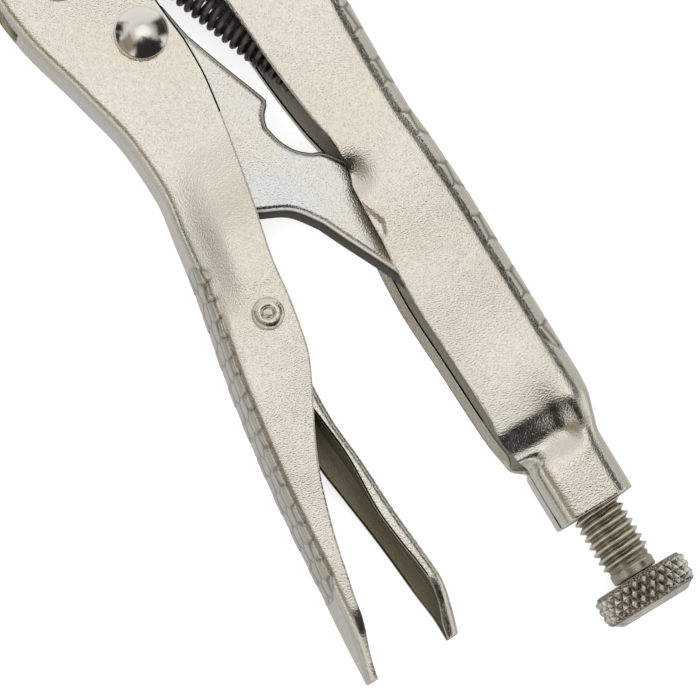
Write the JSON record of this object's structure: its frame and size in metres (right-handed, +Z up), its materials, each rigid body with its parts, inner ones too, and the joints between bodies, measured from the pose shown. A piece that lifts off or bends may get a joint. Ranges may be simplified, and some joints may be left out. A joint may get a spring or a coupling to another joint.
{
  "type": "locking pliers",
  "caption": "Locking pliers with curved toothed jaws, wire cutter, toggle link, release lever and a knurled adjusting screw.",
  "frame": {"origin": "middle of the bottom of the bounding box, with the pliers lying on their side", "axes": "+X from the adjusting knob along the screw to the jaws, +Y from the fixed handle to the moving handle, +Z up, across the width of the handles"},
  "size_m": [0.2282, 0.0654, 0.0183],
  "materials": {
    "nickel_plate": "satin nickel plate, fine orange-peel grain",
    "jaw_steel": "nickel plated forging, matt blasted",
    "zinc_plate": "bright zinc plate with a faint blue tint",
    "rivet_steel": "polished, bright",
    "screw_steel": "plain rolled thread, olive grey",
    "knob_nickel": "nickel plate over a diamond knurl",
    "black_spring": "black oiled spring wire"
  },
  "bodies": {
    "fixed_handle": {"fixed_handle": "nickel_plate", "fixed_jaw": "jaw_steel", "fixed_jaw_rear_rivet": "rivet_steel", "fixed_jaw_front_rivet": "rivet_steel", "jaw_pivot_rivet": "rivet_steel", "jaw_spring": "black_spring"},
    "moving_jaw": {"moving_jaw": "jaw_steel"},
    "moving_handle": {"moving_handle": "nickel_plate", "handle_pivot_rivet": "rivet_steel", "link_rivet": "rivet_steel", "lever_rivet": "nickel_plate"},
    "toggle_link": {"toggle_link": "zinc_plate"},
    "release_lever": {"release_lever": "nickel_plate"},
    "adjusting_screw": {"adjusting_screw": "screw_steel"},
    "knob": {"knob": "knob_nickel"}
  },
  "joints": [
    {"name": "jaw_swing", "type": "hinge", "parent": "fixed_handle", "child": "moving_jaw", "pos_m": [0.0525, -0.0132, 0.00915], "axis": [0, 0, 1], "range_deg": [0, 9.2], "deforming": ["jaw_spring"]},
    {"name": "handle_swing", "type": "hinge", "parent": "moving_jaw", "child": "moving_handle", "pos_m": [0.0377, 0.0148, 0.00915], "axis": [0, 0, -1], "range_deg": [0, 54]},
    {"name": "link_swing", "type": "hinge", "parent": "moving_handle", "child": "toggle_link", "pos_m": [0.0208, 0.0076, 0.00915], "axis": [0, 0, 1], "range_deg": [0, 55.6]},
    {"name": "release_press", "type": "hinge", "parent": "moving_handle", "child": "release_lever", "pos_m": [-0.0343, 0.0147, 0.00915], "axis": [0, 0, -1], "range_deg": [0, 11]},
    {"name": "screw_advance", "type": "slide", "parent": "fixed_handle", "child": "adjusting_screw", "axis": [-1, 0, 0], "range_m": [0, 0.024]},
    {"name": "screw_turn", "type": "hinge", "parent": "adjusting_screw", "child": "knob", "pos_m": [-0.1105, -0.0192, 0.00915], "axis": [-1, 0, 0], "range_deg": [0, 5445]}
  ],
  "couplings": [
    {"joint": "jaw_swing", "follows": "handle_swing", "ratio": 0.17},
    {"joint": "link_swing", "follows": "handle_swing", "ratio": 1.028},
    {"joint": "screw_turn", "follows": "screw_advance", "rad_per_m": 3957.9}
  ]
}
